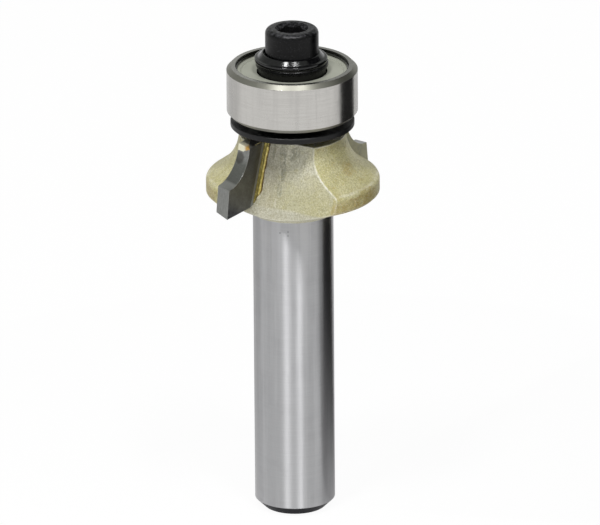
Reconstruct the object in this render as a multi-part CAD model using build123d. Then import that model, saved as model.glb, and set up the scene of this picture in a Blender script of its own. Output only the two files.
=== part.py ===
from build123d import *
from math import cos, radians, sin, sqrt, tan
import os

# Two-flute corner-rounding router bit with a guide bearing at its tip.
# Millimetres. The origin is the centre of the shank's end face and +Z runs to the tip.
# The first carbide tip points along +X and its rake face looks along +Y.

# Shank and painted head, turned from one bar
shank_diameter = 8.0
shank_length = 31.2
shank_chamfer = 0.9
head_height = 8.3            # from the end of the bare shank to the flat top
collar_width = 0.75          # painted cone where the head swells out of the shank
collar_rise = 0.55
underside_rise = 2.1         # from the bare shank to the lip's lower edge
lip_diameter = 17.24
lip_height = 1.59
lip_edge = 0.22              # small bevel at the lip's lower edge
lip_round = 0.6
neck_diameter = 10.6
neck_lean = 6.0              # the neck widens downwards, from upright
bell_angle = 36.0            # slope of the bell above the lip, from level
bell_radius = 4.7            # sweep from the slope up into the neck

# Spigot that carries the bearing, and its tapped hole
spigot_diameter = 4.0
spigot_recess = 0.2          # the spigot stops below the bearing's top face
spigot_bevel = 0.2
screw_diameter = 3.0
screw_reach = 8.0            # length of screw under its head
hole_allowance = 1.0         # hole runs on below the screw's end
drill_angle = 118.0
thread_clearance = 0.03
sliding_fit = 0.02           # radial, rings on the spigot

# Chip gullets
gullet_seam_reach = 4.73     # floor to axis, where it meets the rake face
gullet_floor_radius = 60.0
gullet_floor_turn = 2.5      # the floor's arc leans back from the rake face, degrees
gullet_floor_chord = 8.8
gullet_tilt = 12.2           # the floor closes on the axis towards the tip
rake_lag = 1.3               # rake face behind the axis, which gives the hook angle
rake_lean = 5.0              # shear angle of the cutting edge

# Brazed carbide tips
profile_radius = 3.2         # the rounding that the bit cuts
tip_thickness = 1.6
tip_drop = 0.42              # tip below the lip's lower edge
tip_neck = 0.3               # straight edge above the profile
tip_relief = 0.45            # clearance behind the cutting edge
tip_end_relief = 0.24
tip_bevel_width = 0.65       # ground along the inner edge of the rake face
tip_bevel_depth = 0.14
braze_gap = 0.1
braze_width = 0.4            # the golden strip that runs out on to the gullet floor
flutes = 2

# Guide bearing
bearing_diameter = 13.0
bearing_width = 5.0
ring_bevel = 0.42            # ground off the outer ring's corners
race_bore_diameter = 10.3    # outer ring between its shields
land_diameter = 6.7          # inner ring's outside
ball_diameter = 2.381
ball_count = 7
race_clearance = 0.03
pocket_clearance = 0.06
cage_air = 0.4               # cage to each ring
cage_base = 0.25
cage_rise = 0.55
shield_recess_diameter = 11.2
shield_recess_depth = 0.75
shield_thickness = 0.25
shield_step = 0.12           # the shield's web sits lower than its rim
shield_rim = 0.45
shield_air = 0.15            # shield's bore to the inner ring
snap_wire = 0.26
snap_groove_depth = 0.1
snap_gap = 1.4
snap_gap_angle = 33.2        # where the split in each wire points
seat_clearance = 0.01

# Stack on the spigot, from the head up
lower_shim_diameter = 6.0
lower_shim_thickness = 0.8
disc_diameter = 12.3
disc_thickness = 0.6
disc_bevel = 0.08
upper_shim_diameter = 6.4
upper_shim_thickness = 0.6
washer_diameter = 7.2
washer_bore_clearance = 0.15
washer_thickness = 0.45
washer_bevel = 0.09
washer_shift = 0.1           # the upper washer has slipped on the screw
washer_shift_angle = -56.8

# Socket head cap screw
screw_head_diameter = 5.3
screw_head_height = 3.0
screw_head_round = 0.55
socket_width = 2.5           # across flats
socket_depth = 1.6
socket_mouth_diameter = 3.3
screw_point = 0.4

# Levels and radii that follow
shank_radius = shank_diameter / 2
lip_radius = lip_diameter / 2
neck_radius = neck_diameter / 2
spigot_radius = spigot_diameter / 2
head_bottom = shank_length
lip_bottom = head_bottom + underside_rise
lip_top = lip_bottom + lip_height
tip_foot = lip_bottom - tip_drop
seat_foot = tip_foot + tip_end_relief
head_top = head_bottom + head_height
disc_bottom = head_top + lower_shim_thickness
disc_top = disc_bottom + disc_thickness
bearing_bottom = disc_top + upper_shim_thickness
bearing_middle = bearing_bottom + bearing_width / 2
bearing_top = bearing_bottom + bearing_width
washers_top = bearing_top + 2 * washer_thickness
screw_top = washers_top + screw_head_height
bearing_radius = bearing_diameter / 2
cutting_radius = bearing_radius + profile_radius
ball_radius = ball_diameter / 2
pitch_radius = (land_diameter + race_bore_diameter) / 4
cage_width = (race_bore_diameter - land_diameter) / 2 - 2 * cage_air
ring_bore_radius = spigot_radius + sliding_fit
far = 4 * cutting_radius     # reach of cutting bodies beyond the bit

# Local plane of the rake face: level with the axis, then leaned about the lip
rake_hinge = Axis((0, -rake_lag, lip_top), (1, 0, 0))


def turned(*points):
    """A ring or shaft: the outline of radius and height points, turned about Z."""
    outline = make_face(Polyline(*[(r, 0, z) for r, z in points], close=True))
    return revolve(outline, Axis.Z)


def leaned(solid):
    """Tips a solid drawn square to the axis over to the cutting edge's shear angle."""
    return solid.rotate(rake_hinge, -rake_lean)


def head_blank():
    """Shank, bell-shaped head and spigot in one revolve."""
    lean = tan(radians(neck_lean))
    slope = tan(radians(bell_angle))
    neck_drop = (head_top - lip_top - (lip_radius - neck_radius) * slope) / (1 - lean * slope)
    knee_turn = tan(radians(90 - bell_angle - neck_lean) / 2)
    lip_turn = tan(radians(90 - bell_angle) / 2)
    upper_round = min(bell_radius, 0.95 * neck_drop / knee_turn)
    lower_round = min(lip_round, 0.9 * (lip_height - lip_edge) / lip_turn)
    bell = FilletPolyline(
        (neck_radius, 0, head_top),
        (neck_radius + neck_drop * lean, 0, head_top - neck_drop),
        (lip_radius, 0, lip_top),
        (lip_radius, 0, lip_bottom + lip_edge),
        radius=[upper_round, lower_round],
    )
    spigot_top = bearing_top - spigot_recess
    rest = Polyline(
        (lip_radius, 0, lip_bottom + lip_edge),
        (lip_radius - lip_edge, 0, lip_bottom),
        (shank_radius + collar_width, 0, head_bottom + collar_rise),
        (shank_radius, 0, head_bottom),
        (shank_radius, 0, shank_chamfer),
        (shank_radius - shank_chamfer, 0, 0),
        (0, 0, 0),
        (0, 0, spigot_top),
        (spigot_radius - spigot_bevel, 0, spigot_top),
        (spigot_radius, 0, spigot_top - spigot_bevel),
        (spigot_radius, 0, head_top),
        (neck_radius, 0, head_top),
    )
    return revolve(make_face(Wire(bell.edges() + rest.edges())), Axis.Z)


def tapped_hole():
    """Blind hole for the retaining screw, with the drill's point at its foot."""
    radius = screw_diameter / 2 + thread_clearance
    foot = washers_top - screw_reach - hole_allowance
    return turned(
        (0, foot - radius / tan(radians(drill_angle / 2))),
        (radius, foot),
        (radius, bearing_top),
        (0, bearing_top),
    )


def seam_line(height):
    """Distance from the axis to the gullet floor, along the rake face, at a height."""
    return gullet_seam_reach - (height - lip_bottom) * tan(radians(gullet_tilt))


def below_crown():
    """Everything up to the head's flat top, so that no cut runs on into the spigot."""
    return Pos(0, 0, head_top - far) * Box(4 * far, 4 * far, 2 * far)


def gullet():
    """What the milling cutter takes away in front of the first tip."""
    half_chord = gullet_floor_chord / 2
    hollow = sqrt(gullet_floor_radius**2 - half_chord**2)
    turn = radians(gullet_floor_turn)
    centre_x = gullet_seam_reach - half_chord * sin(turn) + hollow * cos(turn)
    centre_y = -rake_lag + half_chord * cos(turn) + hollow * sin(turn)
    cutter = Pos(centre_x, centre_y, lip_bottom) * Cylinder(gullet_floor_radius, far)
    cutter = cutter.rotate(Axis((gullet_seam_reach, 0, lip_bottom), (0, 1, 0)), -gullet_tilt)
    in_front = Pos(0, far / 2 - rake_lag, lip_bottom) * Box(4 * far, far, 2 * far)
    return leaned(cutter & in_front) & below_crown()


def tip_outline(inset, lift, back):
    """Tip seen square to its rake face, at a distance behind that face."""
    outer = sqrt(cutting_radius**2 - rake_lag**2) - inset
    inner = sqrt(bearing_radius**2 - rake_lag**2) - inset
    arc_centre = head_top - tip_neck
    arc_radius = outer - inner
    y = -rake_lag - back
    corner = arc_radius * sin(radians(45))
    sides = Polyline(
        (inner, y, arc_centre),
        (inner, y, head_top),
        (seam_line(head_top), y, head_top),
        (seam_line(tip_foot + lift), y, tip_foot + lift),
        (outer, y, tip_foot + lift),
        (outer, y, arc_centre - arc_radius),
    )
    hollow = ThreePointArc(
        (outer, y, arc_centre - arc_radius),
        (outer - corner, y, arc_centre - corner),
        (inner, y, arc_centre),
    )
    return make_face(Wire(sides.edges() + hollow.edges()))


def bevel_wedge():
    """What the grinding wheel takes off along the inner edge of a rake face."""
    edge = seam_line(tip_foot)
    section = make_face(
        Polyline(
            (edge, -rake_lag + tip_bevel_depth, tip_foot),
            (edge + tip_bevel_width, -rake_lag, tip_foot),
            (edge, -rake_lag - tip_bevel_depth, tip_foot),
            close=True,
        )
    )
    run = Vector(seam_line(head_top) - edge, 0, head_top - tip_foot)
    return leaned(extrude(section, amount=2 * run.length, dir=run.normalized(), both=True))


def carbide_tip():
    """Ground carbide with clearance behind its cutting edges and a bevelled inner edge."""
    front = tip_outline(0, 0, 0)
    rear = tip_outline(tip_relief, tip_end_relief, tip_thickness)
    return leaned(loft([front, rear], ruled=True)) - bevel_wedge()


def pocket():
    """Room for a tip and its braze: stepped in at the tip's foot, open below it."""
    low = head_bottom
    high = head_top + tip_thickness
    outline = make_face(
        Polyline(
            (seam_line(low), -rake_lag, low),
            (far, -rake_lag, low),
            (far, -rake_lag, high),
            (seam_line(high) - braze_width, -rake_lag, high),
            (seam_line(seat_foot) - braze_width, -rake_lag, seat_foot),
            (seam_line(seat_foot), -rake_lag, seat_foot),
            close=True,
        )
    )
    rear = extrude(outline, amount=tip_thickness + braze_gap, dir=(0, -1, 0))
    front = extrude(outline, amount=braze_width, dir=(0, 1, 0))
    return leaned(rear + front) & below_crown()


def cutter_parts():
    """The head with its pockets and gullets, and the tips and braze that sit in it."""
    blank = head_blank()
    tip = carbide_tip()
    above_seat = Pos(0, 0, seat_foot + far) * Box(2 * far, 2 * far, 2 * far)
    braze = (pocket() & above_seat & blank) - gullet() - bevel_wedge() - tip
    body = blank - tapped_hole()
    parts = {}
    for flute in range(flutes):
        turn = Rot(0, 0, 360 * flute / flutes)
        body = body - turn * gullet() - turn * pocket()
        parts[f"carbide_tip_{flute + 1}"] = turn * tip
        parts[f"braze_seam_{flute + 1}"] = turn * braze
    parts["cutter_body"] = body
    return parts


def plain_ring(outer_radius, bore_radius, bottom, thickness, bevel=0.0):
    """Flat ring, with its outer edges bevelled where a bevel is given."""
    top = bottom + thickness
    if bevel == 0.0:
        return turned(
            (bore_radius, bottom),
            (outer_radius, bottom),
            (outer_radius, top),
            (bore_radius, top),
        )
    return turned(
        (bore_radius, bottom),
        (outer_radius - bevel, bottom),
        (outer_radius, bottom + bevel),
        (outer_radius, top - bevel),
        (outer_radius - bevel, top),
        (bore_radius, top),
    )


def ball_track():
    """Ring-shaped room that the balls roll in."""
    return Pos(0, 0, bearing_middle) * Torus(pitch_radius, ball_radius + race_clearance)


def inner_ring():
    ring = plain_ring(land_diameter / 2, ring_bore_radius, bearing_bottom, bearing_width)
    return ring - ball_track()


def outer_ring():
    """Ground outer ring, with a recess and a wire groove for each shield."""
    recess = shield_recess_diameter / 2
    wire_depth = shield_recess_depth - shield_thickness - snap_wire / 2
    half_groove = snap_wire / 2 + seat_clearance
    bore = race_bore_diameter / 2
    ring = plain_ring(bearing_radius, bore, bearing_bottom, bearing_width, ring_bevel)
    for face, inward in ((bearing_bottom, 1), (bearing_top, -1)):
        floor = face + inward * shield_recess_depth
        wire = face + inward * wire_depth
        pocket = turned((0, face), (recess, face), (recess, floor), (0, floor))
        groove = turned(
            (0, wire - half_groove),
            (recess + snap_groove_depth, wire - half_groove),
            (recess + snap_groove_depth, wire + half_groove),
            (0, wire + half_groove),
        )
        ring = ring - pocket - groove
    return ring - ball_track()


def shield(face, inward):
    """Pressed sheet shield: a rim on the recess floor and a web set slightly lower."""
    rim_outer = shield_recess_diameter / 2 - seat_clearance
    rim_inner = rim_outer - shield_rim
    bore = land_diameter / 2 + shield_air
    floor = face + inward * shield_recess_depth
    roof = floor - inward * shield_thickness
    step = inward * shield_step
    race_edge = race_bore_diameter / 2 - seat_clearance
    return turned(
        (rim_outer, floor),
        (rim_outer, roof),
        (rim_inner, roof),
        (rim_inner - shield_step, roof + step),
        (bore, roof + step),
        (bore, floor + step),
        (race_edge - shield_step, floor + step),
        (race_edge, floor),
    )


def snap_ring(face, inward):
    """Round wire, split so that it can be sprung into its groove."""
    level = face + inward * (shield_recess_depth - shield_thickness - snap_wire / 2)
    radius = shield_recess_diameter / 2 + snap_groove_depth - seat_clearance - snap_wire / 2
    wire = Pos(0, 0, level) * Torus(radius, snap_wire / 2)
    split = Pos(radius, 0, level) * Box(2 * shield_rim, snap_gap, 2 * snap_wire)
    return wire - Rot(0, 0, snap_gap_angle) * split


def ball_spots():
    for number in range(ball_count):
        angle = radians(360 * number / ball_count)
        yield Pos(pitch_radius * cos(angle), pitch_radius * sin(angle), bearing_middle)


def ball_cage():
    """Crown cage: a ring with a round pocket for each ball, open towards the top."""
    pocket_radius = ball_radius + pocket_clearance
    base = bearing_middle - pocket_radius - cage_base
    height = bearing_middle + cage_rise - base
    cage = plain_ring(pitch_radius + cage_width / 2, pitch_radius - cage_width / 2, base, height)
    for spot in ball_spots():
        cage = cage - spot * Sphere(pocket_radius)
    return cage


def retaining_screw():
    """Cap screw with a rounded head and a hexagon socket under a round mouth."""
    head = screw_head_diameter / 2
    shaft = screw_diameter / 2
    end = washers_top - screw_reach
    screw = turned(
        (0, end),
        (shaft - screw_point, end),
        (shaft, end + screw_point),
        (shaft, washers_top),
        (head, washers_top),
        (head, screw_top),
        (0, screw_top),
    )
    rim = screw.edges().filter_by(GeomType.CIRCLE).sort_by(Axis.Z)[-1]
    screw = fillet(rim, screw_head_round)
    socket_floor = screw_top - socket_depth
    hexagon = Plane.XY.offset(socket_floor) * RegularPolygon(socket_width / 2, 6, major_radius=False)
    mouth = socket_mouth_diameter / 2
    flat = socket_width / 2
    chamfer_foot = screw_top - mouth + flat
    countersink = turned((0, chamfer_foot), (flat, chamfer_foot), (mouth, screw_top), (0, screw_top))
    drill_point = turned((0, socket_floor - flat / 2), (flat, socket_floor), (0, socket_floor))
    return screw - extrude(hexagon, amount=socket_depth, dir=(0, 0, 1)) - countersink - drill_point


def stack_parts():
    """Everything that the screw clamps on the spigot, apart from the bearing."""
    washer_bore = screw_diameter / 2 + washer_bore_clearance
    shift = radians(washer_shift_angle)
    lower = plain_ring(washer_diameter / 2, washer_bore, bearing_top, washer_thickness, washer_bevel)
    slipped = Pos(washer_shift * cos(shift), washer_shift * sin(shift), washer_thickness)
    return {
        "lower_shim": plain_ring(lower_shim_diameter / 2, ring_bore_radius, head_top, lower_shim_thickness),
        "dust_disc": plain_ring(disc_diameter / 2, ring_bore_radius, disc_bottom, disc_thickness, disc_bevel),
        "upper_shim": plain_ring(upper_shim_diameter / 2, ring_bore_radius, disc_top, upper_shim_thickness),
        "lower_washer": lower,
        "upper_washer": slipped * lower,
        "retaining_screw": retaining_screw(),
    }


def bearing_parts():
    parts = {
        "bearing_inner_ring": inner_ring(),
        "bearing_outer_ring": outer_ring(),
        "ball_cage": ball_cage(),
        "top_shield": shield(bearing_top, -1),
        "bottom_shield": shield(bearing_bottom, 1),
        "top_snap_ring": snap_ring(bearing_top, -1),
        "bottom_snap_ring": snap_ring(bearing_bottom, 1),
    }
    for number, spot in enumerate(ball_spots(), start=1):
        parts[f"ball_{number}"] = spot * Sphere(ball_radius)
    return parts


def main():
    os.makedirs("parts", exist_ok=True)
    for name, part in {**cutter_parts(), **stack_parts(), **bearing_parts()}.items():
        export_step(part, f"parts/{name}.step")


main()
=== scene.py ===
import bpy
import math
from mathutils import Matrix, Vector


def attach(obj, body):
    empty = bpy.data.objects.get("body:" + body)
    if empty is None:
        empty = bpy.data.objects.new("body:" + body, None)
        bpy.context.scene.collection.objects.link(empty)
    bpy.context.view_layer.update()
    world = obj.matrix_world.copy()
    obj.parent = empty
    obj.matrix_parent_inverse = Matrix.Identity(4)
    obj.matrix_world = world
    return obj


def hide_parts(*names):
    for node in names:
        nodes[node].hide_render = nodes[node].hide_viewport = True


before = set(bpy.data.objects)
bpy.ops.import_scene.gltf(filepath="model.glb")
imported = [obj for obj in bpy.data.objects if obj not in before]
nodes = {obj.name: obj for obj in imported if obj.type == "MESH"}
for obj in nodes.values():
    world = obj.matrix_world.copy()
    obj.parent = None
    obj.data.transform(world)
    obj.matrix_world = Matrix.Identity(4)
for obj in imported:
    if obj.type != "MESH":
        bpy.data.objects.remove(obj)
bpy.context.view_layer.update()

mm = 0.001
scene = bpy.context.scene

# How the dictionaries of finishes are written:
# a grain is a noise: its size in mm, then detail, roughness, stretch along x, y and z, and twist
# a fade is a mask: the values where it starts and ends, then its strength at both (0 and 1 if left out)
# a spot is an oval: its centre and half sizes in mm; its rim is how ragged it is and the size of the rags
spotFade = (0.7, 1.15, 1.0, 0.0)  # in parts of the spot's half size


def linear(text):
    # a web colour such as c4be9b, as the shader wants it
    values = [int(text[i:i + 2], 16) / 255 for i in (0, 2, 4)]
    return [v / 12.92 if v <= 0.04045 else ((v + 0.055) / 1.055) ** 2.4 for v in values] + [1.0]


def grey(value):
    return [value] * 3 + [1.0]


def emptyMaterial(name):
    material = bpy.data.materials.new(name)
    material.use_nodes = True
    tree = material.node_tree
    return material, tree, tree.nodes.new("ShaderNodeTexCoord").outputs["Object"]


def startMaterial(name, colour, rough, metal=0.0):
    material, tree, place = emptyMaterial(name)
    shader = tree.nodes["Principled BSDF"]
    shader.inputs["Base Color"].default_value = linear(colour)
    shader.inputs["Roughness"].default_value = rough
    shader.inputs["Metallic"].default_value = metal
    return material, tree, shader, place


def mixOut(tree, factor, first, second):
    # leads a mix of two shaders to the material's output
    mix = tree.nodes.new("ShaderNodeMixShader")
    tree.links.new(factor, mix.inputs[0])
    tree.links.new(first, mix.inputs[1])
    tree.links.new(second, mix.inputs[2])
    tree.links.new(mix.outputs[0], tree.nodes["Material Output"].inputs["Surface"])


def feed(tree, socket, value):
    # links a socket, or sets a plain value on it
    if isinstance(value, bpy.types.NodeSocket):
        tree.links.new(value, socket)
    else:
        socket.default_value = value


def mapped(tree, place, scale, location=(0, 0, 0)):
    mapping = tree.nodes.new("ShaderNodeMapping")
    mapping.inputs["Scale"].default_value = scale
    mapping.inputs["Location"].default_value = location
    tree.links.new(place, mapping.inputs["Vector"])
    return mapping.outputs["Vector"]


def noise(tree, place, size, detail=3.0, rough=0.55, stretch=None, twist=0.0):
    node = tree.nodes.new("ShaderNodeTexNoise")
    node.inputs["Scale"].default_value = 1 / (size * mm)
    node.inputs["Detail"].default_value = detail
    node.inputs["Roughness"].default_value = rough
    node.inputs["Distortion"].default_value = twist
    tree.links.new(mapped(tree, place, stretch) if stretch else place, node.inputs["Vector"])
    return node.outputs["Fac"]


def ramp(tree, value, low, high, start=0.0, end=1.0):
    # goes smoothly from start to end as the value goes from low to high
    node = tree.nodes.new("ShaderNodeMapRange")
    node.interpolation_type = "SMOOTHSTEP"
    given = {"Value": value, "From Min": low, "From Max": high, "To Min": start, "To Max": end}
    for name, part in given.items():
        feed(tree, node.inputs[name], part)
    return node.outputs["Result"]


def calc(tree, operation, a, b=0.0):
    node = tree.nodes.new("ShaderNodeMath")
    node.operation = operation
    feed(tree, node.inputs[0], a)
    feed(tree, node.inputs[1], b)
    return node.outputs[0]


def plus(tree, a, b):
    return calc(tree, "ADD", a, b)


def minus(tree, a, b):
    return calc(tree, "SUBTRACT", a, b)


def times(tree, first, *others):
    # of masks: where all of them meet, with any number among them as a strength
    for other in others:
        first = calc(tree, "MULTIPLY", first, other)
    return first


def larger(tree, a, b):
    # of masks: where either of them is
    return calc(tree, "MAXIMUM", a, b)


def outside(tree, mask):
    return minus(tree, 1.0, mask)


def window(tree, value, rise, fall):
    # 1 from the end of rise to the start of fall
    return times(tree, ramp(tree, value, *rise), ramp(tree, value, *fall, 1.0, 0.0))


def swap(tree, mask, off, on):
    # a number that changes from off to on with a mask
    return ramp(tree, mask, 0.0, 1.0, off, on)


def blend(tree, factor, a, b):
    node = tree.nodes.new("ShaderNodeMix")
    node.data_type = "RGBA"
    feed(tree, node.inputs[0], factor)
    feed(tree, node.inputs[6], linear(a) if isinstance(a, str) else a)
    feed(tree, node.inputs[7], linear(b) if isinstance(b, str) else b)
    return node.outputs[2]


def layered(tree, place, colour, layers):
    # lays thin coats over a colour, each with a grain, a fade and a colour of its own
    for grain, fade, over in layers:
        colour = blend(tree, ramp(tree, noise(tree, place, *grain), *fade), colour, over)
    return colour


def bump(tree, height, depth, normal=None):
    node = tree.nodes.new("ShaderNodeBump")
    node.inputs["Distance"].default_value = depth * mm
    feed(tree, node.inputs["Height"], height)
    if normal:
        tree.links.new(normal, node.inputs["Normal"])
    return node.outputs["Normal"]


def axisParts(tree, vector):
    node = tree.nodes.new("ShaderNodeSeparateXYZ")
    tree.links.new(vector, node.inputs[0])
    return node.outputs[0], node.outputs[1], node.outputs[2]


def surfaceNormal(tree):
    return axisParts(tree, tree.nodes.new("ShaderNodeTexCoord").outputs["Normal"])


def millimetres(tree, place):
    return [times(tree, part, 1 / mm) for part in axisParts(tree, place)]


def reachOf(tree, x, y):
    # distance from the bit's axis
    return calc(tree, "SQRT", plus(tree, times(tree, x, x), times(tree, y, y)))


def onOwnSide(tree, x, value):
    # x, y or a part of the normal as each tip has it: one half of the bit is the other given half a turn
    return times(tree, value, calc(tree, "SIGN", x))


def waver(tree, place, grain, amount):
    # how far a border strays to either side
    return times(tree, minus(tree, noise(tree, place, *grain), 0.5), amount)


def roughness(tree, cloud, rough, shared):
    # a little smoother and rougher by turns
    return ramp(tree, cloud, *shared["roughFade"], rough * shared["roughLeast"], rough * shared["roughMost"])


def spot(tree, place, centre, size, ragged=0.0, grain=0.5):
    # 1 inside, 0 outside
    scale = [1 / (s * mm) for s in size]
    moved = mapped(tree, place, scale, [-c * mm * k for c, k in zip(centre, scale)])
    node = tree.nodes.new("ShaderNodeVectorMath")
    node.operation = "LENGTH"
    tree.links.new(moved, node.inputs[0])
    away = node.outputs["Value"]
    if ragged:
        rags = (grain, 4, 0.6)
        away = plus(tree, away, waver(tree, place, rags, ragged))
    return ramp(tree, away, *spotFade)


def softEdge(tree, radius, samples=6):
    # normal rounded over the piece's edges
    node = tree.nodes.new("ShaderNodeBevel")
    node.samples = samples
    node.inputs["Radius"].default_value = radius * mm
    return node.outputs["Normal"]


def edgeWearAndHighlight(tree, radius, low=0.02, high=0.25):
    # 1 along sharp edges, 0 on faces
    rounded = softEdge(tree, radius, 8)
    flat = tree.nodes.new("ShaderNodeNewGeometry").outputs["Normal"]
    node = tree.nodes.new("ShaderNodeVectorMath")
    node.operation = "DOT_PRODUCT"
    tree.links.new(rounded, node.inputs[0])
    tree.links.new(flat, node.inputs[1])
    return ramp(tree, outside(tree, node.outputs["Value"]), low, high)


def ringTangent(tree, shader, amount):
    # stretches highlights across grinding lines that run round the axis
    node = tree.nodes.new("ShaderNodeTangent")
    node.direction_type = "RADIAL"
    node.axis = "Z"
    shader.inputs["Anisotropic"].default_value = amount
    shader.inputs["Anisotropic Rotation"].default_value = 0.25  # a quarter turn
    tree.links.new(node.outputs["Tangent"], shader.inputs["Tangent"])


def dress(names, material):
    for name in names:
        mesh = nodes[name].data
        mesh.materials.clear()
        mesh.materials.append(material)


def addCylinder(name, sides, radius, height, middle):
    # closed cylinder on the bit's axis, selected alone; sizes in metres
    bpy.ops.object.select_all(action="DESELECT")
    bpy.ops.mesh.primitive_cylinder_add(vertices=sides, radius=radius, depth=height,
                                        end_fill_type="NGON", location=(0, 0, middle))
    piece = bpy.context.object
    piece.name = name
    bpy.ops.object.transform_apply(location=True)
    return piece


def dropPicks():
    # nothing of the mesh stays picked
    bpy.ops.object.mode_set(mode="EDIT")
    bpy.ops.mesh.select_all(action="DESELECT")
    bpy.ops.object.mode_set(mode="OBJECT")


def pickFaces(piece, test):
    # picks faces by their normal or place, and stays in edit mode
    dropPicks()
    for face in piece.data.polygons:
        face.select = test(face)
    bpy.ops.object.mode_set(mode="EDIT")


def pickEdges(piece, test):
    # picks edges by the places of their two ends, and stays in edit mode
    dropPicks()
    ends = piece.data.vertices
    for edge in piece.data.edges:
        edge.select = test(*(ends[i].co for i in edge.vertices))
    bpy.ops.object.mode_set(mode="EDIT")
    bpy.ops.mesh.select_mode(type="EDGE")


def pickRims(piece, test):
    # picks edges that run round the piece, by their reach in millimetres
    close = 0.001 * mm

    def onRim(a, b):
        level = abs(a.z - b.z) < close and abs(a.xy.length - b.xy.length) < close
        return level and test(a.xy.length / mm)

    pickEdges(piece, onRim)


# angles in degrees, distance and clip in metres; right, height and width of the view in mm
camera = {"azimuth": 123.2, "elevation": 20.5, "distance": 1.2, "roll": -0.4,
          "right": 0.65, "height": 25.65, "width": 59.64, "sensor": 36, "clip": (0.05, 20)}


def direction(azimuth, elevation):
    # outwards from the object; azimuth 0 points along -Y
    a, e = math.radians(azimuth), math.radians(elevation)
    return Vector((math.sin(a) * math.cos(e), -math.cos(a) * math.cos(e), math.sin(e)))


def placeCamera(c):
    back = direction(c["azimuth"], c["elevation"])
    turn = math.radians(c["azimuth"])
    right = Vector((math.cos(turn), math.sin(turn), 0))
    data = bpy.data.cameras.new("camera")
    data.sensor_width = c["sensor"]
    data.lens = c["sensor"] * c["distance"] / (c["width"] * mm)
    data.clip_start, data.clip_end = c["clip"]
    cam = bpy.data.objects.new("camera", data)
    scene.collection.objects.link(cam)
    cam.rotation_mode = "QUATERNION"
    cam.location = right * c["right"] * mm + Vector((0, 0, c["height"] * mm)) + back * c["distance"]
    roll = Matrix.Rotation(math.radians(c["roll"]), 4, "Z").to_quaternion()
    cam.rotation_quaternion = (-back).to_track_quat("-Z", "Y") @ roll
    scene.camera = cam


placeCamera(camera)
print("camera placed")

# sizes in metres; the lamps' sides, counted from the camera's own side, and elevations in degrees
studio = {"floor": 3.0, "paper": "fbfbfa", "paperShade": "f6f6f4", "paperGrain": (3.0, 4),
          "paperRough": 0.9, "white": 0.955, "fill": 0.36,
          "sky": 0.45, "skyTint": (0.97, 1.0, 0.94), "horizon": (0.08, 0.36),
          "lampDistance": 0.6, "lampAim": 0.03, "lampWidth": 0.5,
          "lamps": ({"name": "leftLamp", "side": -34, "elevation": 64, "size": 0.16, "power": 1.7},
                    {"name": "rightLamp", "side": 25, "elevation": 64, "size": 0.14, "power": 1.42})}


def whiteRays(tree):
    # 1 for what mirrors and glass see, and 1 for what the camera sees
    path = tree.nodes.new("ShaderNodeLightPath")
    mirrored = larger(tree, path.outputs["Is Glossy Ray"], path.outputs["Is Transmission Ray"])
    return mirrored, path.outputs["Is Camera Ray"]


def layFloor(s):
    # paper that the camera, mirrors and glass see nearly white
    bpy.ops.object.select_all(action="DESELECT")
    bpy.ops.mesh.primitive_grid_add(x_subdivisions=4, y_subdivisions=4, size=s["floor"], location=(0, 0, 0))
    floor = bpy.context.object
    floor.name = "floor"
    material, tree, shader, place = startMaterial("floorPaper", s["paper"], s["paperRough"])
    paper = blend(tree, noise(tree, place, *s["paperGrain"]), s["paper"], s["paperShade"])
    tree.links.new(paper, shader.inputs["Base Color"])
    glow = tree.nodes.new("ShaderNodeEmission")
    seen = larger(tree, *whiteRays(tree))
    mixOut(tree, times(tree, seen, s["white"]), shader.outputs[0], glow.outputs[0])
    floor.data.materials.append(material)


def lightSky(s):
    # white for the camera, for mirrors and glass a dome that dims upwards, and a weak even fill
    world = bpy.data.worlds.new("studio")
    scene.world = world
    world.use_nodes = True
    tree = world.node_tree
    mirrored, direct = whiteRays(tree)
    height = axisParts(tree, tree.nodes.new("ShaderNodeTexCoord").outputs["Generated"])[2]
    tint = [v * s["sky"] for v in s["skyTint"]] + [1.0]
    dome = blend(tree, ramp(tree, height, *s["horizon"]), grey(1.0), tint)
    colour = blend(tree, mirrored, grey(s["fill"]), dome)
    colour = blend(tree, direct, colour, grey(1.0))
    tree.links.new(colour, tree.nodes["Background"].inputs["Color"])


def hangLamps(s):
    for lamp in s["lamps"]:
        data = bpy.data.lights.new(lamp["name"], "AREA")
        data.shape = "RECTANGLE"
        data.size, data.size_y = lamp["size"] * s["lampWidth"], lamp["size"]
        data.energy = lamp["power"]
        light = bpy.data.objects.new(lamp["name"], data)
        scene.collection.objects.link(light)
        towards = direction(camera["azimuth"] + lamp["side"], lamp["elevation"]) * s["lampDistance"]
        light.location = towards + Vector((0, 0, s["lampAim"]))
        light.rotation_mode = "QUATERNION"
        light.rotation_quaternion = (-towards).to_track_quat("-Z", "Y")


layFloor(studio)
lightSky(studio)
hangLamps(studio)

# sizes in mm; a zone's borders are angles from the camera's own side, in degrees, below and above the bend
# the flag stands in for shade at the right: a dark sheet that only reflections and diffuse light see
flag = {"radius": 60, "height": 260, "lift": 0.2, "sides": 180, "shade": 0.020, "bend": (8, 18),
        "near": 6, "far": 46, "nearStrength": 0.22,
        "zones": ({"from": (77, 88), "to": (143, 133), "soft": 2, "strength": 1.0},
                  {"from": (138, 138), "to": (192, 192), "soft": 8, "strength": 0.32},
                  {"from": (-172, -172), "to": (-104, -104), "soft": 14, "strength": 0.24})}


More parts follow.
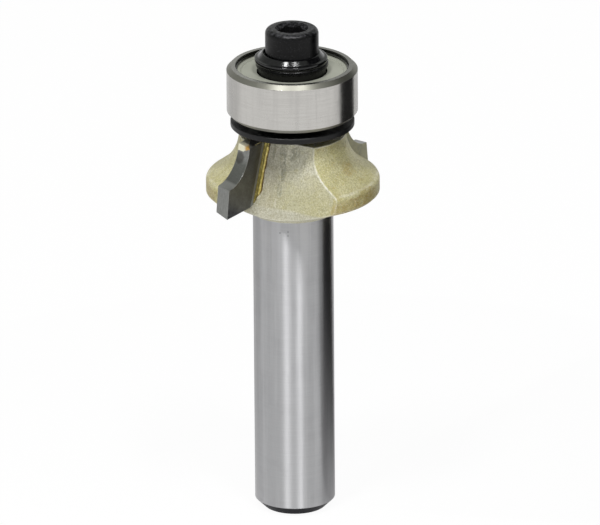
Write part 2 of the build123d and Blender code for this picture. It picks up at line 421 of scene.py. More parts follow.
def flagStrength(tree, place, f):
    # where the cloth is dark: in its zones, less so near the object
    x, y, z = axisParts(tree, place)
    turn = math.radians(camera["azimuth"])
    across = plus(tree, times(tree, x, math.cos(turn)), times(tree, y, math.sin(turn)))
    towards = minus(tree, times(tree, x, math.sin(turn)), times(tree, y, math.cos(turn)))
    angle = calc(tree, "ARCTAN2", across, towards)
    foot, top = (level * mm for level in f["bend"])
    dark = 0.0
    for zone in f["zones"]:
        soft = math.radians(zone["soft"])
        start = ramp(tree, z, foot, top, *[math.radians(a) for a in zone["from"]])
        stop = ramp(tree, z, foot, top, *[math.radians(a) for a in zone["to"]])
        inside = times(tree, ramp(tree, minus(tree, angle, start), -soft, soft),
                       ramp(tree, minus(tree, angle, stop), -soft, soft, 1.0, 0.0))
        dark = plus(tree, dark, times(tree, inside, zone["strength"]))
    reach = reachOf(tree, across, towards)
    return times(tree, dark, ramp(tree, reach, f["near"] * mm, f["far"] * mm, f["nearStrength"], 1.0))


def hangFlag(f):
    # cloth round the object and on the floor, open above: dark at the right, thin behind and at the left.
    # Unseen by the camera, it is a dark sheet that puts painted shade into reflections and into the fill
    # light.
    middle = f["height"] * mm / 2 + f["lift"] * mm
    card = addCylinder("sideFlag", f["sides"], f["radius"] * mm, f["height"] * mm, middle)
    pickFaces(card, lambda face: face.normal.z > 0.5)
    bpy.ops.mesh.delete(type="FACE")
    bpy.ops.object.mode_set(mode="OBJECT")
    material, tree, place = emptyMaterial("painted_shade_cloth")
    glow = tree.nodes.new("ShaderNodeEmission")
    glow.inputs["Color"].default_value = grey(f["shade"])
    clear = tree.nodes.new("ShaderNodeBsdfTransparent")
    mixOut(tree, flagStrength(tree, place, f), clear.outputs[0], glow.outputs[0])
    card.data.materials.append(material)
    card.visible_camera = False
    card.visible_shadow = False
    card.visible_transmission = False


hangFlag(flag)
print("studio built")

# lengths in mm, counted forwards from the rake face, outwards from the axis and upwards
braze = {"gold": "c0ae5e", "bright": "e3d281", "brown": "644d2c", "rough": 0.36, "metal": 0.7,
         "width": 0.52, "footWidth": 0.02, "foot": (33.1, 34.5), "ragged": 0.36, "ragGrain": (0.9, 4, 0.6),
         "rakeLag": 1.3, "leanAbout": 34.89, "lean": 5.0, "soft": 0.02,
         "lineRise": (-0.13, -0.05), "lineFall": (0.03, 0.07), "lineStrength": 0.7, "lineShade": 0.8,
         "inner": (3.1, 3.2), "bottom": (33.1, 33.2), "back": (-0.3, -0.2),
         "lumpGrain": (0.35, 4, 0.6), "lumpFade": (0.42, 0.62), "lumpDepth": 0.08, "edge": 0.08,
         "brownGrain": (0.5, 4), "brownFade": (0.6, 0.72, 0.0, 0.7), "speckFade": (0.34, 0.66, 0.0, 0.6)}


def brazeBounds(tree, place, b):
    # how far in front of the rake face the solder has run, and the brown line at its border
    x, y, z = millimetres(tree, place)
    lean = times(tree, minus(tree, z, b["leanAbout"]), math.tan(math.radians(b["lean"])))
    ahead = minus(tree, plus(tree, onOwnSide(tree, x, y), b["rakeLag"]), lean)
    width = ramp(tree, z, *b["foot"], b["footWidth"], b["width"])
    border = plus(tree, width, waver(tree, place, b["ragGrain"], b["ragged"]))
    past = minus(tree, ahead, border)
    gold = ramp(tree, past, -b["soft"], b["soft"], 1.0, 0.0)
    line = window(tree, past, b["lineRise"], b["lineFall"])
    near = times(tree, ramp(tree, onOwnSide(tree, x, x), *b["inner"]), ramp(tree, z, *b["bottom"]),
                 ramp(tree, ahead, *b["back"]))
    return times(tree, gold, near), times(tree, line, near)


def solderColour(tree, place, b, line):
    lumps = ramp(tree, noise(tree, place, *b["lumpGrain"]), *b["lumpFade"])
    colour = blend(tree, lumps, b["gold"], b["bright"])
    colour = layered(tree, place, colour, [(b["brownGrain"], b["brownFade"], b["brown"])])
    return blend(tree, times(tree, line, b["lineStrength"]), colour, b["brown"])


bell = {"paint": "ccc68f", "light": "d7d2a5", "lightFade": (0.35, 0.65),
        "stain": "b39a4e", "stainFade": (0.52, 0.7, 0.0, 0.4), "rust": "8f6f3c",
        "lipTop": (34.9, 34.5), "lipFoot": (32.4, 32.8),
        # along the lip, stain and painted shade
        "lipStainAndShade": (0.4, 0.6, 0.15, 0.5), "lipRustAndShade": (0.5, 0.66, 0.0, 0.45),
        "spots": (((-0.4, 8.6, 34.5), (1.6, 0.8, 0.8)), ((1.6, 8.4, 33.8), (2.6, 0.9, 0.45)),
                  ((-0.2, 6.3, 36.7), (1.0, 0.9, 0.8)), ((3.7, 7.8, 33.8), (1.0, 1.0, 0.5)),
                  ((4.5, 1.2, 33.1), (0.5, 0.35, 0.3)), ((6.2, -6.0, 34.3), (0.8, 0.9, 0.8)),
                  ((4.4, 3.8, 33.1), (0.5, 0.5, 0.25))),
        "spotRim": (0.9, 0.8), "spotPatch": (0.3, 0.62), "spotStrength": 0.5}


def bellPaint(tree, place, z, grains, b):
    # champagne paint, a brown band along the lip that is stain and painted shade, and stains in spots
    colour = blend(tree, ramp(tree, grains["cloud"], *b["lightFade"]), b["paint"], b["light"])
    colour = blend(tree, ramp(tree, grains["patch"], *b["stainFade"]), colour, b["stain"])
    lip = times(tree, ramp(tree, z, *b["lipTop"]), ramp(tree, z, *b["lipFoot"]))
    # stain and painted shade along the lip, where it turns under
    colour = blend(tree, times(tree, lip, ramp(tree, grains["cloud"], *b["lipStainAndShade"])), colour, b["stain"])
    colour = blend(tree, times(tree, lip, ramp(tree, grains["patch"], *b["lipRustAndShade"])), colour, b["rust"])
    for centre, size in b["spots"]:
        stain = times(tree, spot(tree, place, centre, size, *b["spotRim"]),
                      ramp(tree, grains["patch"], *b["spotPatch"]), b["spotStrength"])
        colour = blend(tree, stain, colour, b["stain"])
    return colour


gullet = {"paint": "d9d6bd", "light": "e6e4d0", "lightFade": (0.35, 0.65),
          "low": "cbc8a4", "lowFade": (36.5, 34.0, 0.0, 0.9),
          "high": "eeecda", "highFade": (35.5, 38.5, 0.0, 0.8),
          "moss": "cbc592", "mossFade": (0.5, 0.7, 0.0, 0.55),
          "ridgeMoss": (2.4, 5.0, 0.0, 0.5), "ridgeCloud": (0.35, 0.6),
          "grey": "c6c0b2", "greyFade": (2.2, -0.2, 0.0, 0.45),
          # the smudge colour is grime and painted shade on the floor's upper part
          "smudge": "a3a391", "runFade": (0.45, 0.66), "runHeight": (33.6, 38.5, 0.0, 0.3),
          "smudges": (((3.4, 1.1, 38.3), (0.7, 0.42, 1.5)), ((3.75, 1.35, 36.6), (0.7, 0.3, 1.2)),
                      ((3.25, 2.4, 38.5), (0.7, 0.6, 0.8)), ((4.1, 1.1, 34.8), (0.7, 0.3, 1.0)),
                      ((3.45, 0.1, 38.4), (0.7, 0.16, 1.1))),
          "smudgeRim": (0.8, 0.5), "smudgeGrimeAndShade": (0.4, 0.58, 0.15, 1.0), "smudgeStrength": 0.8,
          "pale": "fbf9ee", "paleRim": (0.9, 0.5), "paleStrength": 0.35,
          "pales": (((4.5, 2.4, 32.7), (0.7, 1.4, 0.35)), ((4.4, 0.8, 33.5), (0.4, 0.12, 0.5)))}


def gulletPaint(tree, place, x, y, z, grains, g):
    # floor of the gullet: paler at the top, greyer towards the tip, yellower towards the ridge
    colour = blend(tree, ramp(tree, grains["cloud"], *g["lightFade"]), g["paint"], g["light"])
    colour = blend(tree, ramp(tree, z, *g["lowFade"]), colour, g["low"])
    colour = blend(tree, ramp(tree, z, *g["highFade"]), colour, g["high"])
    colour = blend(tree, ramp(tree, grains["patch"], *g["mossFade"]), colour, g["moss"])
    across = onOwnSide(tree, x, y)
    colour = blend(tree, ramp(tree, across, *g["greyFade"]), colour, g["grey"])
    mossy = times(tree, ramp(tree, across, *g["ridgeMoss"]), ramp(tree, grains["cloud"], *g["ridgeCloud"]))
    colour = blend(tree, mossy, colour, g["moss"])

    # darker streaks down the floor and smudges beside the tip, grime and painted shade together, and pale
    # spots
    run = times(tree, ramp(tree, grains["run"], *g["runFade"]), ramp(tree, z, *g["runHeight"]))
    colour = blend(tree, run, colour, g["smudge"])
    for centre, size in g["smudges"]:
        smudgedAndShaded = times(tree, spot(tree, place, centre, size, *g["smudgeRim"]),
                     ramp(tree, grains["grimeAndShade"], *g["smudgeGrimeAndShade"]), g["smudgeStrength"])
        colour = blend(tree, smudgedAndShaded, colour, g["smudge"])
    for centre, size in g["pales"]:
        paleSpot = times(tree, spot(tree, place, centre, size, *g["paleRim"]), g["paleStrength"])
        colour = blend(tree, paleSpot, colour, g["pale"])
    return colour


# the foot colour is painted shade on the chamfer at the shank's end
shank = {"steel": "bababc", "foot": "242427", "footFade": (0.86, 0.92, 1.0, 0.0), "pit": "77777b",
         "rings": ((0.5, 2, 0.5, (0.15, 0.15, 6.0)), (0.3, 0.7, 0.0, 0.5), "c3c3c5"),
         "dull": ((2.2, 4), (0.45, 0.7, 0.0, 0.3), "abaaad"),
         "streaks": ((0.8, 3, 0.6, (1.0, 1.0, 0.04)), (0.42, 0.66, 0.0, 0.45), "d0d0d2"),
         "grit": ((0.12, 3, 0.7), (0.66, 0.76, 0.0, 0.35), "77777b"),
         "pits": ((3.88, 0.97, 30.19), (3.6, 1.74, 30.36), (3.6, 1.73, 29.94)), "pitSize": 0.1,
         "pitStrength": 0.5}


def shankSteel(tree, place, z, s):
    # bare ground steel with fine rings, long pale streaks and small pits, and painted shade on the chamfer at
    # the foot
    steel = layered(tree, place, s["steel"], [s["rings"], s["dull"], s["streaks"], s["grit"]])
    for centre in s["pits"]:
        pit = times(tree, spot(tree, place, centre, [s["pitSize"]] * 3), s["pitStrength"])
        steel = blend(tree, pit, steel, s["pit"])
    # painted shade on the foot's chamfer
    return blend(tree, ramp(tree, z, *s["footFade"]), steel, s["foot"])


coat = {"paintFrom": (31.33, 31.39), "paintTo": (39.51, 39.55),
        "borderGrain": (0.9, 2), "borderWaver": 0.2,
        "gulletFacing": (0.88, 0.93), "gulletReach": (8.1, 8.4, 1.0, 0.0),
        "grains": {"speck": (0.16, 3, 0.65), "paintedGlint": (0.09, 2),
                   "cloud": (1.5, 4, 0.6), "patch": (0.6, 4, 0.65),
                   "grimeAndShade": (0.3, 4, 0.65, (1.0, 1.0, 0.5), 0.5),
                   "run": (0.9, 4, 0.6, (1.0, 1.0, 0.3), 0.6)},
        "footTone": "cfcdbd", "footFade": (33.05, 32.75, 0.0, 0.8),
        "speck": "958d64", "speckFade": (0.36, 0.68, 0.0, 0.6),
        # painted glints: white specks that stand for sparkle in the paint
        "paintedGlint": "fffdf2", "paintedGlintFade": (0.58, 0.74, 0.0, 0.65),
        "wornAndHighlit": "fbf9ee", "wornAndHighlitPatch": (0.35, 0.55, 0.3, 1.0),
        "crease": 35.08, "creaseFade": (0.02, 0.14, 0.3, 0.0), "creaseCloud": (0.4, 0.6, 0.25, 1.0),
        "ridge": (0.3, 0.006, 0.045),  # how far wear and painted highlight reach in mm, then their fade
        "ridgeFoot": (34.7, 35.2, 0.35, 1.0), "ridgeTop": (36.5, 38.5, 1.0, 0.6),
        "rough": 0.42, "metal": 0.22, "bareRough": 0.4, "bareMetal": 1.0, "stretch": 1.0,
        "speckDepth": 0.035, "edge": 0.12, "rippleDepth": 0.06,
        "ripples": ((0.4, 3), (0.5, 3, 0.6, (1.0, 1.0, 0.25)))}


def paintedCoat(tree, place, line, inGullet, grains, c):
    # all of the head's paint, speckled, with painted glints, and whitened along the ridges and the lip's
    # crease by wear and painted highlight
    x, y, z = millimetres(tree, place)
    colour = blend(tree, inGullet, bellPaint(tree, place, z, grains, bell),
                   gulletPaint(tree, place, x, y, z, grains, gullet))
    colour = blend(tree, ramp(tree, line, *c["footFade"]), colour, c["footTone"])
    colour = blend(tree, ramp(tree, grains["speck"], *c["speckFade"]), colour, c["speck"])
    # painted glints
    colour = blend(tree, ramp(tree, grains["paintedGlint"], *c["paintedGlintFade"]), colour, c["paintedGlint"])
    offCrease = calc(tree, "ABSOLUTE", minus(tree, line, c["crease"]))
    crease = times(tree, ramp(tree, offCrease, *c["creaseFade"]), outside(tree, inGullet),
                   ramp(tree, grains["cloud"], *c["creaseCloud"]))
    ridge = times(tree, edgeWearAndHighlight(tree, *c["ridge"]), ramp(tree, z, *c["ridgeFoot"]),
                  ramp(tree, z, *c["ridgeTop"]))
    # wear and painted highlight along the ridges and the crease
    wornAndHighlit = times(tree, larger(tree, ridge, crease), ramp(tree, grains["patch"], *c["wornAndHighlitPatch"]))
    return blend(tree, wornAndHighlit, colour, c["wornAndHighlit"])


def cutterFinish(c):
    start = startMaterial("painted_steel", bell["paint"], c["bareRough"], c["bareMetal"])
    material, tree, shader, place = start
    x, y, z = millimetres(tree, place)
    grains = {name: noise(tree, place, *grain) for name, grain in c["grains"].items()}
    line = plus(tree, z, waver(tree, place, c["borderGrain"], c["borderWaver"]))
    painted = window(tree, line, c["paintFrom"], c["paintTo"])
    facing = calc(tree, "ABSOLUTE", surfaceNormal(tree)[0])
    inGullet = times(tree, ramp(tree, facing, *c["gulletFacing"]),
                     ramp(tree, reachOf(tree, x, y), *c["gulletReach"]))
    colour = blend(tree, painted, shankSteel(tree, place, z, shank),
                   paintedCoat(tree, place, line, inGullet, grains, c))
    gold, rim = (times(tree, mask, inGullet) for mask in brazeBounds(tree, place, braze))
    colour = blend(tree, gold, colour, solderColour(tree, place, braze, rim))
    colour = blend(tree, times(tree, rim, braze["lineShade"]), colour, braze["brown"])
    tree.links.new(colour, shader.inputs["Base Color"])

    metal = larger(tree, swap(tree, painted, c["bareMetal"], c["metal"]), times(tree, gold, braze["metal"]))
    tree.links.new(metal, shader.inputs["Metallic"])
    tree.links.new(swap(tree, painted, c["bareRough"], c["rough"]), shader.inputs["Roughness"])
    ringTangent(tree, shader, c["stretch"])
    specks = bump(tree, times(tree, grains["speck"], painted), c["speckDepth"], softEdge(tree, c["edge"]))
    ripples = plus(tree, *(noise(tree, place, *grain) for grain in c["ripples"]))
    rippled = bump(tree, times(tree, ripples, painted), c["rippleDepth"], specks)
    tree.links.new(rippled, shader.inputs["Normal"])
    return material


dress(["cutter_body"], cutterFinish(coat))
print("cutter body finished")

tips = {"rake": "565759", "rakeLight": "626366", "rakeFacing": (0.985, 0.993),
        "bevel": "767a7c", "bevelFacing": (0.93, 0.95),
        "ground": "7a7b78", "groundLight": "868784", "lightFade": (0.35, 0.65),
        # edge: painted highlight for the edges and the lower step's upward faces
        "edge": "b4b4b2", "edgeReach": 0.07, "edgeStrength": 0.6,
        "up": (0.9, 0.95), "stepHeight": (38.0, 37.5),
        "paintedGlint": "a0a09e", "paintedGlintFade": (0.55, 0.7, 0.0, 0.35),
        "grit": (0.07, 3, 0.6), "lines": (0.12, 3, 0.6, (3.0, 0.5, 0.25)), "cloud": (0.9, 4, 0.6),
        "rough": 0.32, "metal": 1.0, "coveredRough": 0.5, "coveredMetal": 0.15,
        "lineDepth": 0.006, "soft": 0.05}


def tipMetal(tree, z, nz, grains, onRake, onBevel, t):
    # dark rake face, grey bevel beside it and ground sides, with painted highlights on the lower step's
    # upward faces and along the edges, and painted glints
    ground = blend(tree, ramp(tree, grains["lines"], *t["lightFade"]), t["ground"], t["groundLight"])
    rake = blend(tree, ramp(tree, grains["cloud"], *t["lightFade"]), t["rake"], t["rakeLight"])
    # painted highlight on the upward faces of the lower step
    step = times(tree, ramp(tree, nz, *t["up"]), ramp(tree, z, *t["stepHeight"]))
    colour = blend(tree, step, ground, t["edge"])
    colour = blend(tree, onRake, colour, rake)
    colour = blend(tree, onBevel, colour, t["bevel"])
    # painted glints
    colour = blend(tree, ramp(tree, grains["grit"], *t["paintedGlintFade"]), colour, t["paintedGlint"])
    # painted highlight along the edges
    return blend(tree, times(tree, edgeWearAndHighlight(tree, t["edgeReach"]), t["edgeStrength"]), colour, t["edge"])


mist = {"colour": "b0ad90", "facing": (-0.6, -0.8), "grain": (0.5, 4, 0.6), "fade": (0.3, 0.55, 0.6, 0.95)}
# a darker blotch beside the dab; its colour is also the painted shadow on the crowns and on the dab's top
tipShadowAndBlotch = {"colour": "3c3a33", "spot": ((6.15, -2.1, 38.2), (0.5, 0.6, 0.7)), "ragged": 0.6, "strength": 0.6,
        "up": (0.8, 0.9), "crown": (39.0, 39.2), "crownStrength": 0.8}
dab = {"colour": "e9e6cc", "rim": "bb913c", "from": 38.93, "soft": 0.03, "rise": (-1.9, -1.0, 0.0, 0.35),
       "firstTip": (0.0, 0.1), "height": (38.6, 38.8), "outward": (0.8, 0.9), "up": (0.8, 0.9),
       "waverGrain": (0.5, 3), "waver": 0.3, "corner": 6.1, "slant": 0.55, "slantFade": (-1.1, -1.2),
       "rimFade": (-1.75, -1.25), "rimCloud": (0.5, 0.7, 0.0, 0.7), "shadedTopFade": (0.8, 0.9, 0.0, 0.45)}


def dabOfPaint(tree, place, cloud, d):
    # a dab on the crown of the first tip: where it lies, and its colour with a yellow rim and painted shadow
    # on its upward faces
    x, y, z = millimetres(tree, place)
    nx, ny, nz = surfaceNormal(tree)
    stray = waver(tree, place, d["waverGrain"], d["waver"])
    strayed = plus(tree, y, stray)
    # its lower rim rises towards the rake face
    above = minus(tree, plus(tree, z, stray), d["from"])
    above = minus(tree, above, ramp(tree, y, *d["rise"]))
    onLand = times(tree, ramp(tree, above, -d["soft"], d["soft"]), ramp(tree, nx, *d["outward"]))
    slant = plus(tree, strayed, times(tree, minus(tree, d["corner"], x), d["slant"]))
    onTop = times(tree, ramp(tree, nz, *d["up"]), ramp(tree, slant, *d["slantFade"]))
    lies = times(tree, larger(tree, onLand, onTop), ramp(tree, x, *d["firstTip"]),
                 ramp(tree, z, *d["height"]))
    yellow = larger(tree, ramp(tree, strayed, *d["rimFade"]), ramp(tree, cloud, *d["rimCloud"]))
    colour = blend(tree, yellow, d["colour"], d["rim"])
    # painted shadow on the dab's upward faces
    return lies, blend(tree, ramp(tree, nz, *d["shadedTopFade"]), colour, tipShadowAndBlotch["colour"])


def carbideFinish(t):
    material, tree, shader, place = startMaterial("carbide", t["ground"], t["rough"], t["metal"])
    x, y, z = millimetres(tree, place)
    nx, ny, nz = surfaceNormal(tree)
    facing = onOwnSide(tree, x, ny)
    grains = {name: noise(tree, place, *t[name]) for name in ("grit", "lines", "cloud")}
    onRake = ramp(tree, facing, *t["rakeFacing"])
    onBevel = times(tree, ramp(tree, facing, *t["bevelFacing"]), outside(tree, onRake))
    colour = tipMetal(tree, z, nz, grains, onRake, onBevel, t)

    # paint mist on the backs, a darker blotch beside the dab, painted shadow on the crowns under the dust
    # disc, then the dab
    misty = ramp(tree, facing, *mist["facing"])
    cover = ramp(tree, noise(tree, place, *mist["grain"]), *mist["fade"])
    colour = blend(tree, times(tree, misty, cover), colour, mist["colour"])
    blotch = spot(tree, place, *tipShadowAndBlotch["spot"], tipShadowAndBlotch["ragged"])
    colour = blend(tree, times(tree, blotch, tipShadowAndBlotch["strength"]), colour, tipShadowAndBlotch["colour"])
    # painted shadow on the crowns
    crown = times(tree, ramp(tree, nz, *tipShadowAndBlotch["up"]), ramp(tree, z, *tipShadowAndBlotch["crown"]))
    colour = blend(tree, times(tree, crown, tipShadowAndBlotch["crownStrength"]), colour, tipShadowAndBlotch["colour"])
    dabbed, dabColour = dabOfPaint(tree, place, grains["cloud"], dab)
    tree.links.new(blend(tree, dabbed, colour, dabColour), shader.inputs["Base Color"])
    covered = larger(tree, larger(tree, misty, onBevel), larger(tree, dabbed, crown))
    tree.links.new(swap(tree, covered, t["metal"], t["coveredMetal"]), shader.inputs["Metallic"])
    tree.links.new(swap(tree, covered, t["rough"], t["coveredRough"]), shader.inputs["Roughness"])
    ground = bump(tree, grains["lines"], t["lineDepth"], softEdge(tree, t["soft"]))
    tree.links.new(ground, shader.inputs["Normal"])
    return material


dress(["carbide_tip_1", "carbide_tip_2"], carbideFinish(tips))


def brazeFinish(b, c):
    # gold where the solder shows, painted over elsewhere
    material, tree, shader, place = startMaterial("braze", b["gold"], b["rough"], b["metal"])
    gold, rim = brazeBounds(tree, place, b)
    specks = ramp(tree, noise(tree, place, *c["grains"]["speck"]), *b["speckFade"])
    cover = blend(tree, specks, gullet["paint"], c["speck"])
    colour = blend(tree, gold, cover, solderColour(tree, place, b, rim))
    tree.links.new(colour, shader.inputs["Base Color"])
    tree.links.new(times(tree, gold, b["metal"]), shader.inputs["Metallic"])
    lumps = bump(tree, noise(tree, place, *b["lumpGrain"]), b["lumpDepth"], softEdge(tree, b["edge"]))
    tree.links.new(lumps, shader.inputs["Normal"])
    return material


dress(["braze_seam_1", "braze_seam_2"], brazeFinish(braze, coat))
print("tips and braze finished")

# what all black parts share; each part's own values follow below
blackening = {"cloud": (0.8, 4, 0.6), "cloudFade": (0.4, 0.7),
              "grit": (0.1, 3, 0.6), "gritFade": (0.6, 0.74), "gritDepth": 0.008,
              "scuff": (0.35, 4, 0.7), "scuffFade": (0.42, 0.62), "scuffUp": (0.4, 0.8),
              "roughFade": (0.3, 0.7), "roughLeast": 0.85, "roughMost": 1.2, "coatRough": 0.06,
              "edgeReach": 0.08, "soft": 0.08, "socketSoft": 0.1, "socketWall": (0.9, 0.7)}


def blackFinish(name, d):
    material, tree, shader, place = startMaterial(name, d["colour"], d["rough"], d["metal"])
    shared = blackening
    up = surfaceNormal(tree)[2]
    cloud = noise(tree, place, *shared["cloud"])
    grit = noise(tree, place, *shared["grit"])
    colour = blend(tree, ramp(tree, cloud, *shared["cloudFade"]), d["colour"], d["light"])
    colour = blend(tree, ramp(tree, grit, *shared["gritFade"], 0.0, d["dust"]), colour, d["grit"])
    scuff = ramp(tree, noise(tree, place, *shared["scuff"]), *shared["scuffFade"])
    scuff = times(tree, ramp(tree, up, *shared["scuffUp"]), scuff)
    colour = blend(tree, times(tree, scuff, d["scuffs"]), colour, d["grit"])
    colour = blend(tree, times(tree, edgeWearAndHighlight(tree, shared["edgeReach"]), d["wear"]), colour, d["edge"])
    tree.links.new(colour, shader.inputs["Base Color"])
    rough = roughness(tree, cloud, d["rough"], shared)
    if "socket" in d:
        # dull walls inside the socket
        x, y, z = millimetres(tree, place)
        inside = ramp(tree, reachOf(tree, x, y), d["socket"], d["socket"] - shared["socketSoft"])
        rough = larger(tree, rough, times(tree, inside, ramp(tree, up, *shared["socketWall"])))
    tree.links.new(rough, shader.inputs["Roughness"])
    shader.inputs["Specular IOR Level"].default_value = d["shine"]
    shader.inputs["Coat Weight"].default_value = d["coat"]
    shader.inputs["Coat Roughness"].default_value = shared["coatRough"]
    gritty = bump(tree, grit, shared["gritDepth"], softEdge(tree, shared["soft"]))
    tree.links.new(gritty, shader.inputs["Normal"])
    return material


screw = {"colour": "020203", "light": "070708", "grit": "626266", "edge": "6c6c70",
         "rough": 0.33, "metal": 0.1, "shine": 0.22, "coat": 0.0,
         "wear": 0.3, "scuffs": 0.4, "dust": 0.6, "socket": 1.75}
washers = {"colour": "040405", "light": "0b0b0d", "grit": "404043", "edge": "55555a",
           "rough": 0.11, "metal": 0.2, "shine": 0.4, "coat": 0.35,
           "wear": 0.2, "scuffs": 0.1, "dust": 0.2}
dustyWasher = {"colour": "040405", "light": "0a0a0b", "grit": "38383b", "edge": "2c2c30",
               "rough": 0.26, "metal": 0.1, "shine": 0.22, "coat": 0.0,
               "wear": 0.3, "scuffs": 0.4, "dust": 0.5}
dustDisc = {"colour": "050506", "light": "0b0b0c", "grit": "4c4c50", "edge": "77777b",
            "rough": 0.4, "metal": 0.1, "shine": 0.35, "coat": 0.0,
            "wear": 0.3, "scuffs": 0.1, "dust": 0.3}
# the inner ring is near black: grease, and painted shade under the washers
greaseAndShadeRing = {"colour": "0c0c0b", "light": "171715", "grit": "50504c", "edge": "55554f",
              "rough": 0.45, "metal": 0.3, "shine": 0.4, "coat": 0.0,
              "wear": 0.2, "scuffs": 0.1, "dust": 0.3}
dress(["retaining_screw"], blackFinish("black_screw", screw))
dress(["upper_washer"], blackFinish("black_washer", washers))
dress(["lower_washer", "lower_shim", "upper_shim"], blackFinish("dusty_washer", dustyWasher))
dress(["dust_disc"], blackFinish("dark_disc", dustDisc))
dress(["bearing_inner_ring"], blackFinish("grease_and_painted_shade_ring", greaseAndShadeRing))
print("black parts finished")

dished = {"centre": (0.0548, -0.0837), "low": 46.95, "high": 47.4, "radius": 3.6, "bore": 1.65,
          "foot": 3.3, "collar": 2.88, "collarBore": 2.77, "rise": 0.48,
          "soft": 0.08, "softSteps": 3, "sides": 144,
          "nearBore": 0.01, "pastCollar": 0.05, "merge": 0.0001, "smooth": 35}


def dishedWasher(w):
    # spring washer whose inner collar rises round the screw's head
    thick = w["high"] - w["low"]
    piece = addCylinder("dishedWasher", w["sides"], w["radius"] * mm, thick * mm, thick * mm / 2)
    pickFaces(piece, lambda face: face.normal.z > 0.9)
    bpy.ops.mesh.inset(thickness=(w["radius"] - w["foot"]) * mm)
    bpy.ops.mesh.extrude_region_move(TRANSFORM_OT_translate={"value": (0, 0, w["rise"] * mm)})
    taper = w["collar"] / w["foot"]
    bpy.ops.transform.resize(value=(taper, taper, 1), center_override=(0, 0, 0))
    bpy.ops.mesh.inset(thickness=(w["collar"] - w["collarBore"]) * mm)
    bpy.ops.mesh.extrude_region_move(TRANSFORM_OT_translate={"value": (0, 0, -w["rise"] * mm)})
    bpy.ops.mesh.inset(thickness=(w["collarBore"] - w["bore"]) * mm)
    bpy.ops.mesh.delete(type="FACE")
    pickFaces(piece, lambda face: face.normal.z < -0.9)
    bpy.ops.mesh.inset(thickness=(w["radius"] - w["bore"]) * mm)
    bpy.ops.mesh.delete(type="FACE")
    pickRims(piece, lambda reach: abs(reach - w["bore"]) < w["nearBore"])
    bpy.ops.mesh.bridge_edge_loops()
    pickRims(piece, lambda reach: reach > w["collarBore"] + w["pastCollar"])
    bpy.ops.mesh.bevel(offset=w["soft"] * mm, segments=w["softSteps"], affect="EDGES")
    bpy.ops.mesh.select_all(action="SELECT")
    bpy.ops.mesh.remove_doubles(threshold=w["merge"] * mm)
    bpy.ops.mesh.normals_make_consistent(inside=False)
    bpy.ops.object.mode_set(mode="OBJECT")
    piece.location = (w["centre"][0] * mm, w["centre"][1] * mm, w["low"] * mm)
    bpy.ops.object.transform_apply(location=True)
    bpy.ops.object.shade_smooth_by_angle(angle=math.radians(w["smooth"]))
    piece.data.materials.append(nodes["upper_washer"].data.materials[0])
    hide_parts("upper_washer")
    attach(piece, "cutter")


dishedWasher(dished)
print("dished washer shaped")

bead = {"from": (3.42, -0.66, 38.95), "to": (4.58, -1.17, 33.55), "radius": 0.19, "sides": 20, "rings": 60,
        "endRound": 0.12, "endSteps": 4, "lump": 0.13, "lumpSize": 0.8}


def solderBead(b):
    # lumpy run of solder along the seam, half sunk in its corner, and its copy at the second tip
    start, end = Vector(b["from"]) * mm, Vector(b["to"]) * mm
    half = (end - start).length / 2
    piece = addCylinder("solderBead_1", b["sides"], b["radius"] * mm, half * 2, 0)
    pickRims(piece, lambda reach: True)
    bpy.ops.mesh.bevel(offset=b["endRound"] * mm, segments=b["endSteps"], affect="EDGES")
    pickEdges(piece, lambda low, high: abs(high.z - low.z) > half)
    bpy.ops.mesh.subdivide(number_cuts=b["rings"])
    bpy.ops.mesh.select_all(action="SELECT")
    bpy.ops.mesh.normals_make_consistent(inside=False)
    bpy.ops.object.mode_set(mode="OBJECT")
    lumps = bpy.data.textures.new("solderLumps", "CLOUDS")
    lumps.noise_scale = b["lumpSize"] * mm
    swell = piece.modifiers.new("swell", "DISPLACE")
    swell.texture = lumps
    swell.strength = b["lump"] * mm
    bpy.ops.object.modifier_apply(modifier="swell")
    piece.rotation_mode = "QUATERNION"
    piece.rotation_quaternion = (end - start).to_track_quat("Z", "Y")
    piece.location = (start + end) / 2
    bpy.ops.object.transform_apply(location=True, rotation=True)
    bpy.ops.object.shade_smooth()
    piece.data.materials.append(nodes["braze_seam_1"].data.materials[0])
    second = piece.copy()
    second.data = piece.data.copy()
    second.name = "solderBead_2"
    second.data.transform(Matrix.Rotation(math.pi, 4, "Z"))
    scene.collection.objects.link(second)
    for each in (piece, second):
        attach(each, "cutter")


solderBead(bead)
print("solder beads laid")

# what all bright steel parts share; each part's own values follow below
grinding = {"rings": (2, 0.5, (0.12, 0.12, 4.0)), "ringFade": (0.3, 0.7), "soft": 0.05,
            "cloud": (1.6, 4), "cloudFade": (0.5, 0.75, 0.0, 0.3),
            "roughFade": (0.3, 0.7), "roughLeast": 0.9, "roughMost": 1.15}


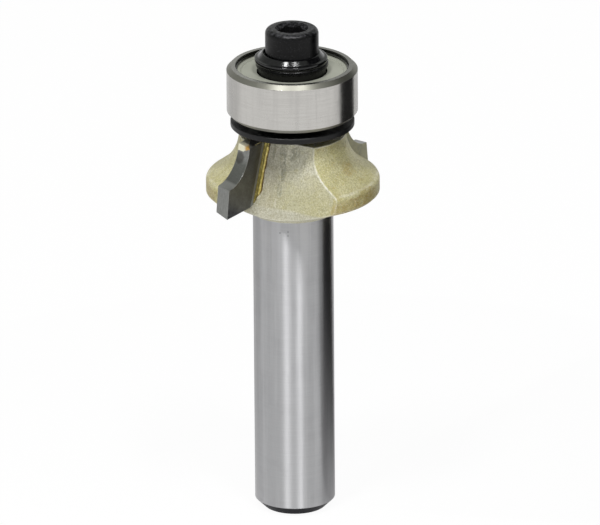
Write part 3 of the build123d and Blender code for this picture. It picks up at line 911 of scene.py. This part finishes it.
def steelFinish(name, d):
    material, tree, shader, place = startMaterial(name, d["colour"], d["rough"], d["metal"])
    shared = grinding
    rings = noise(tree, place, d["grind"], *shared["rings"])
    cloud = noise(tree, place, *shared["cloud"])
    colour = blend(tree, ramp(tree, rings, *shared["ringFade"]), d["colour"], d["second"])
    colour = blend(tree, ramp(tree, cloud, *shared["cloudFade"]), colour, d["second"])
    rough = roughness(tree, cloud, d["rough"], shared)
    if "recess" in d:
        # upright streaks, a rougher bevel whose darker colour is a painted reflection of the dark parts
        # above, and grime and painted shade inside the recess
        colour = layered(tree, place, colour, [d["streaks"]])
        slope = calc(tree, "ABSOLUTE", surfaceNormal(tree)[2])
        sloped = window(tree, slope, *d["bevelSlope"])
        # painted reflection of the dark parts on the bevel
        colour = blend(tree, sloped, colour, d["bevel"])
        x, y, z = millimetres(tree, place)
        # grime and painted shade inside the recess
        colour = blend(tree, ramp(tree, reachOf(tree, x, y), *d["recess"]), colour, d["grimeAndShade"])
        rough = larger(tree, rough, times(tree, sloped, d["bevelRough"]))
    tree.links.new(colour, shader.inputs["Base Color"])
    tree.links.new(rough, shader.inputs["Roughness"])
    if "highlight" in d:
        ringTangent(tree, shader, d["highlight"])
    ground = bump(tree, rings, d["depth"], softEdge(tree, shared["soft"]))
    tree.links.new(ground, shader.inputs["Normal"])
    return material


outerRing = {"colour": "bcbab6", "second": "c3c1bd", "rough": 0.24, "metal": 1.0,
             "grind": 0.4, "depth": 0.0006, "highlight": 0.7,
             "streaks": ((0.7, 3, 0.5, (1.0, 1.0, 0.06)), (0.4, 0.65, 0.0, 0.35), "adaba8"),
             # the bevel colour is a painted reflection; the grime colour is grime and painted shade in the
             # recess
             "bevel": "9d9c93", "bevelRough": 0.5, "bevelSlope": ((0.3, 0.5), (0.85, 0.95)),
             "recess": (5.62, 5.65, 1.0, 0.0), "grimeAndShade": "2c2c29"}
shields = {"colour": "abada0", "second": "b4b6a9", "rough": 0.5, "metal": 0.35, "grind": 0.5, "depth": 0.0015}
wires = {"colour": "4b4b48", "second": "5e5e5a", "rough": 0.22, "metal": 1.0, "grind": 0.3, "depth": 0.0015}
cage = {"colour": "a2a29e", "second": "adada9", "rough": 0.3, "metal": 1.0, "grind": 0.5, "depth": 0.0015}
balls = {"colour": "d0d0d0", "second": "d8d8d8", "rough": 0.06, "metal": 1.0, "grind": 0.5, "depth": 0.0003}
dress(["bearing_outer_ring"], steelFinish("ground_ring", outerRing))
dress(["top_shield", "bottom_shield"], steelFinish("shield_steel", shields))
dress(["top_snap_ring", "bottom_snap_ring"], steelFinish("wire_steel", wires))
dress(["ball_cage"], steelFinish("cage_steel", cage))
dress([f"ball_{n}" for n in range(1, 8)], steelFinish("ball_steel", balls))
print("bearing finished")

scene.view_settings.view_transform = "Standard"
